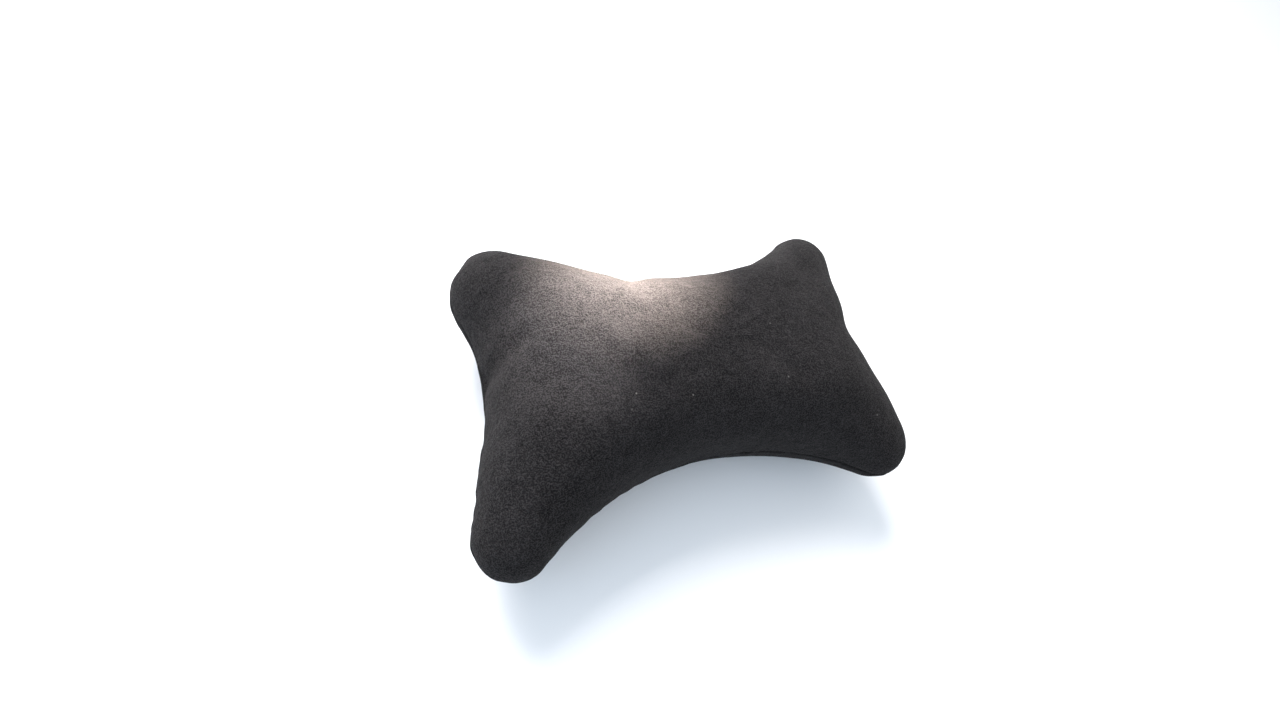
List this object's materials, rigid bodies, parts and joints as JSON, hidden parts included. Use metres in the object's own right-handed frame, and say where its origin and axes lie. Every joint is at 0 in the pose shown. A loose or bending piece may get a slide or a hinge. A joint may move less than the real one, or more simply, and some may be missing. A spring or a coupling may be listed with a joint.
{
  "type": "travel neck pillow",
  "caption": "Bone-shaped stuffed neck pillow for a car seat: two like cloth panels sewn round their edge, with rounded lobes and hollow sides.",
  "frame": {"origin": "under the middle of the pillow's box, on the surface that its back rests on", "axes": "+X along the pillow's length, +Y to its upper long side, +Z out of its front"},
  "size_m": [0.3122, 0.2082, 0.103],
  "materials": {
    "pillow_cloth": "charcoal cloth with a short brushed pile"
  },
  "bodies": {
    "root": {"neck_pillow": "pillow_cloth"}
  },
  "joints": []
}
